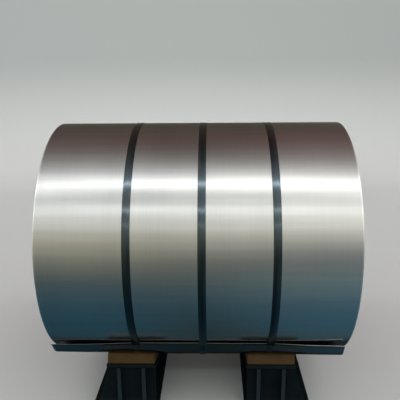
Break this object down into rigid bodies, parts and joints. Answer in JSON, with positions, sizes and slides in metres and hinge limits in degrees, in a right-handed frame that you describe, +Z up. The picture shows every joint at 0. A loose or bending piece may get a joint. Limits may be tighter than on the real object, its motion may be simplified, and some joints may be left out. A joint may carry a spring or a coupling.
{
  "type": "strapped steel coil on saddles",
  "caption": "Coil of bright cold-rolled steel strip with girth straps and a loose outer end, lying with its bore level on a pair of padded V saddles.",
  "frame": {"origin": "on the floor, straight below the middle of the coil", "axes": "+X along the coil's bore, +Z up, and the strip's loose end on the -Y side"},
  "size_m": [1.2617, 1.0422, 1.2751],
  "materials": {
    "strip_steel": "satin",
    "strap_steel": "satin",
    "pad_polyurethane": "satin",
    "saddle_paint": "satin"
  },
  "bodies": {
    "root": {"strip_coil": "strip_steel", "strap_left": "strap_steel", "strap_seal_left": "strap_steel", "strap_middle": "strap_steel", "strap_seal_middle": "strap_steel", "strap_right": "strap_steel", "strap_seal_right": "strap_steel", "saddle_left_base_plate": "saddle_paint", "saddle_left_web_inner": "saddle_paint", "saddle_left_web_outer": "saddle_paint", "saddle_left_carrier_front": "saddle_paint", "saddle_left_pad_front": "pad_polyurethane", "saddle_left_cross_plate_front": "saddle_paint", "saddle_left_gusset_front_inner": "saddle_paint", "saddle_left_gusset_front_outer": "saddle_paint", "saddle_left_carrier_rear": "saddle_paint", "saddle_left_pad_rear": "pad_polyurethane", "saddle_left_cross_plate_rear": "saddle_paint", "saddle_left_gusset_rear_inner": "saddle_paint", "saddle_left_gusset_rear_outer": "saddle_paint", "saddle_right_base_plate": "saddle_paint", "saddle_right_web_inner": "saddle_paint", "saddle_right_web_outer": "saddle_paint", "saddle_right_carrier_front": "saddle_paint", "saddle_right_pad_front": "pad_polyurethane", "saddle_right_cross_plate_front": "saddle_paint", "saddle_right_gusset_front_inner": "saddle_paint", "saddle_right_gusset_front_outer": "saddle_paint", "saddle_right_carrier_rear": "saddle_paint", "saddle_right_pad_rear": "pad_polyurethane", "saddle_right_cross_plate_rear": "saddle_paint", "saddle_right_gusset_rear_inner": "saddle_paint", "saddle_right_gusset_rear_outer": "saddle_paint"}
  },
  "joints": []
}
